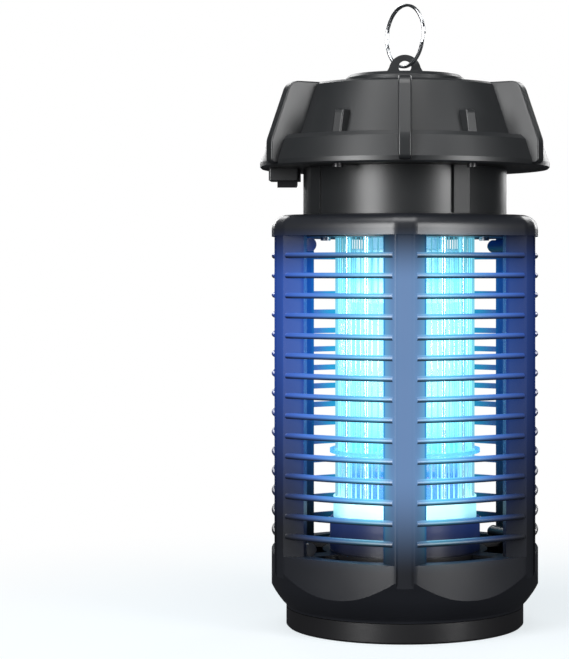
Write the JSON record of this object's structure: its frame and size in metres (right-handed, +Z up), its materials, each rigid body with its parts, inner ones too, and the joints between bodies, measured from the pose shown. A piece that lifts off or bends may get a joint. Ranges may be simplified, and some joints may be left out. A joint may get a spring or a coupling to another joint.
{
  "type": "electric bug zapper",
  "caption": "Lantern-shaped electric insect killer: six-sided barred cage round a UV lamp and high-voltage grid, ribbed cap with hanging ring, twist-off tray.",
  "frame": {"origin": "centre of the flat foot on the surface it stands on", "axes": "+Z up along the body, -Y towards the front post, +X to the right seen from the front"},
  "size_m": [0.1546, 0.162, 0.3312],
  "materials": {
    "black_shell": "satin moulded black ABS with a fine grain",
    "black_switch": "smooth black rocker",
    "black_rubber": "dull black rubber",
    "ring_chrome": "bright nickel-plated spring steel",
    "steel": "zinc-plated steel",
    "grid_metal": "bright drawn stainless rod",
    "clear_insulator": "pale translucent polycarbonate",
    "white_insulator": "matt white heat-resistant plastic",
    "uv_glass": "glowing ultraviolet lamp tube",
    "board_green": "green solder mask",
    "transformer_dark": "varnished core and taped winding",
    "capacitor_sleeve": "shrink-sleeved can",
    "fuse_glass": "glass cartridge in metal clips"
  },
  "bodies": {
    "housing": {"front_shell": "black_shell", "rear_shell": "black_shell", "neck_housing": "black_shell", "cap": "black_shell", "cap_floor": "black_shell", "hanger_plate": "black_shell", "switch_housing": "black_shell", "cable_gland": "black_rubber", "cap_gasket": "black_rubber", "hanger_nut": "steel", "switch_pin": "steel", "shell_screws": "steel", "ceiling_screws": "steel", "cap_screws": "steel", "grid_rods_live": "grid_metal", "grid_rods_return": "grid_metal", "grid_ring_lower": "clear_insulator", "grid_ring_upper": "clear_insulator", "grid_base_ring": "white_insulator", "pedestal": "black_shell", "floor_plate": "black_shell", "ceiling_plate": "black_shell", "lamp_socket": "white_insulator", "lamp_base": "white_insulator", "uv_tube_left": "uv_glass", "uv_tube_right": "uv_glass", "circuit_board": "board_green", "transformer": "transformer_dark", "capacitors": "capacitor_sleeve", "fuse": "fuse_glass"},
    "ring": {"hanging_ring": "ring_chrome"},
    "rocker": {"switch_rocker": "black_switch"},
    "tray": {"collection_tray": "black_shell"}
  },
  "joints": [
    {"name": "ring_swing", "type": "hinge", "parent": "housing", "child": "ring", "pos_m": [0, 0, 0.29745], "axis": [0.5878, -0.809, 0], "range_deg": [-90, 90]},
    {"name": "switch_press", "type": "hinge", "parent": "housing", "child": "rocker", "pos_m": [-0.0628, 0, 0.238], "axis": [1, 0, 0], "range_deg": [-16, 0]},
    {"name": "tray_twist", "type": "hinge", "parent": "housing", "child": "tray", "pos_m": [0, 0, 0], "axis": [0, 0, 1], "range_deg": [0, 20]}
  ]
}
